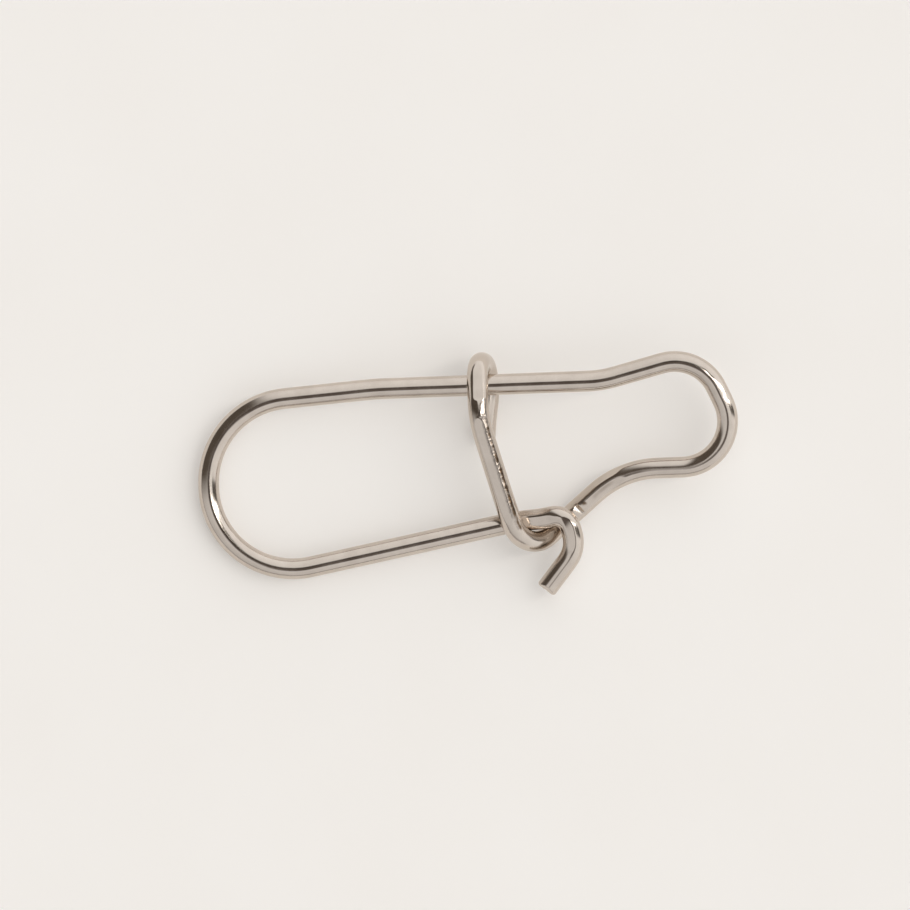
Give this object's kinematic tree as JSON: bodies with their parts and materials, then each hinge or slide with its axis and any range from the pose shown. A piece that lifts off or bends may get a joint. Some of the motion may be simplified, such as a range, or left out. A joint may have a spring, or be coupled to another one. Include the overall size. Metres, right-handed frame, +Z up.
{
  "type": "fishing snap",
  "caption": "Fishing snap bent from one round spring wire: a long lure loop and a small line eye, closed by a hooked end sprung over the corner of a wrapped cross-piece.",
  "frame": {"origin": "on the table, under the middle of the snap's outer size as it lies flat", "axes": "+X along the snap from the lure loop to the line eye, +Y from the latch towards the wrap, +Z up off the table"},
  "size_m": [0.0232, 0.0104, 0.0031],
  "materials": {
    "nickel_wire": "drawn spring steel wire, bright nickel plate with fine drawing lines"
  },
  "bodies": {
    "root": {"snap_wire": "nickel_wire"}
  },
  "joints": []
}
